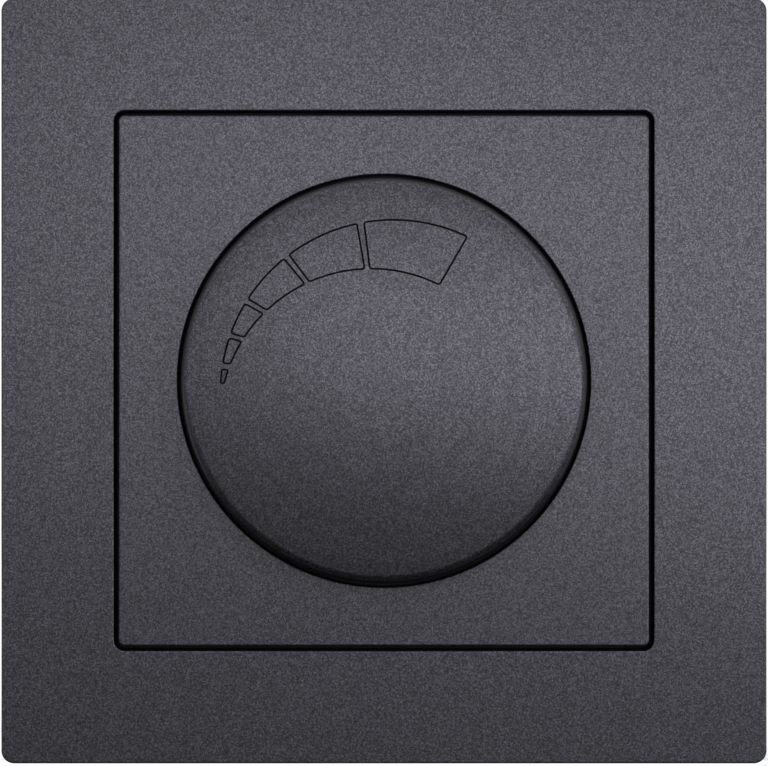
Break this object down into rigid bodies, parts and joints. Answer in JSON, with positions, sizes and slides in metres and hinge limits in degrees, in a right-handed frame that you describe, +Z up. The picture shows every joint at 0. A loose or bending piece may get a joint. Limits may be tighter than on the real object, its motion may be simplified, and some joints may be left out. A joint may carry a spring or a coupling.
{
  "type": "led dimmer switch",
  "caption": "Square flush-mounted rotary LED dimmer: a turn-and-push knob in a centre plate and cover frame, on a steel strap with rear housing, spreading claws and screw terminals.",
  "frame": {"origin": "on the wall plane, at the middle of the line between the two slots for the box screws, on the knob's axis", "axes": "+Z up the wall, -Y out of the wall towards the user, +X to the user's right"},
  "size_m": [0.08, 0.0473, 0.08],
  "materials": {
    "anthracite_plastic": "satin lacquer with fine metallic flake",
    "black_plastic": "moulded, fine grain",
    "grey_plastic": "moulded, smooth",
    "white_plastic": "moulded, smooth",
    "phenolic_plastic": "pressed phenolic",
    "zinc_steel": "bright zinc plating",
    "nickel_brass": "nickel plated",
    "bare_brass": "bare, slightly dull",
    "copper_wire": "enamelled copper",
    "board_laminate": "glass-fibre laminate with green solder mask",
    "capacitor_plastic": "moulded case",
    "capacitor_can": "can in a plastic sleeve",
    "ferrite": "sintered",
    "chip_epoxy": "moulded epoxy",
    "silicone_pad": "soft silicone sheet"
  },
  "bodies": {
    "base": {"cover_frame": "anthracite_plastic", "centre_plate": "anthracite_plastic", "plate_nut": "black_plastic", "bushing_nut": "nickel_brass", "lock_washer": "zinc_steel", "support_strap": "zinc_steel", "claw_screws": "zinc_steel", "housing_screws": "zinc_steel", "rear_housing": "black_plastic", "insulating_plate": "black_plastic", "shaft_bushing": "nickel_brass", "pot_case": "phenolic_plastic", "resistor_track": "phenolic_plastic", "switch_case": "white_plastic", "fixed_contacts": "bare_brass", "return_spring": "zinc_steel", "circuit_board": "board_laminate", "film_capacitor": "capacitor_plastic", "storage_capacitor": "capacitor_can", "choke_core": "ferrite", "choke_winding": "copper_wire", "transistor_left": "chip_epoxy", "transistor_right": "chip_epoxy", "heat_pad": "silicone_pad", "driver_chip": "chip_epoxy", "trimmer_body": "phenolic_plastic", "terminal_block": "grey_plastic", "terminal_cage_1": "bare_brass", "terminal_cage_2": "bare_brass", "terminal_cage_3": "bare_brass", "clamp_plates": "zinc_steel", "terminal_screws": "zinc_steel"},
    "wiper": {"wiper_carrier": "white_plastic", "wiper_contact": "bare_brass"},
    "knob": {"dimmer_knob": "anthracite_plastic", "control_shaft": "white_plastic", "shaft_clip": "zinc_steel"},
    "plunger": {"switch_plunger": "white_plastic", "contact_bridge": "bare_brass"},
    "claw_left": {"claw_left": "zinc_steel"},
    "claw_right": {"claw_right": "zinc_steel"},
    "trimmer": {"trimmer_screw": "white_plastic"}
  },
  "joints": [
    {"name": "knob_turn", "type": "hinge", "parent": "base", "child": "wiper", "pos_m": [0, 0, 0], "axis": [0, 1, 0], "range_deg": [0, 270]},
    {"name": "knob_push", "type": "slide", "parent": "wiper", "child": "knob", "axis": [0, 1, 0], "range_m": [0, 0.0012], "stiffness_N_per_m": 1500, "springref_m": -0.0015},
    {"name": "plunger_slide", "type": "slide", "parent": "base", "child": "plunger", "axis": [0, 1, 0], "range_m": [0, 0.0012], "deforming": ["return_spring"]},
    {"name": "claw_left_swing", "type": "hinge", "parent": "base", "child": "claw_left", "pos_m": [-0.023, 0.0032, 0], "axis": [0, 0, 1], "range_deg": [0, 18]},
    {"name": "claw_right_swing", "type": "hinge", "parent": "base", "child": "claw_right", "pos_m": [0.023, 0.0032, 0], "axis": [0, 0, -1], "range_deg": [0, 18]},
    {"name": "trimmer_turn", "type": "hinge", "parent": "base", "child": "trimmer", "pos_m": [0.0134, 0, 0.0086], "axis": [0, 1, 0], "range_deg": [-120, 120]}
  ],
  "couplings": [
    {"joint": "plunger_slide", "follows": "knob_push", "ratio": 1}
  ]
}
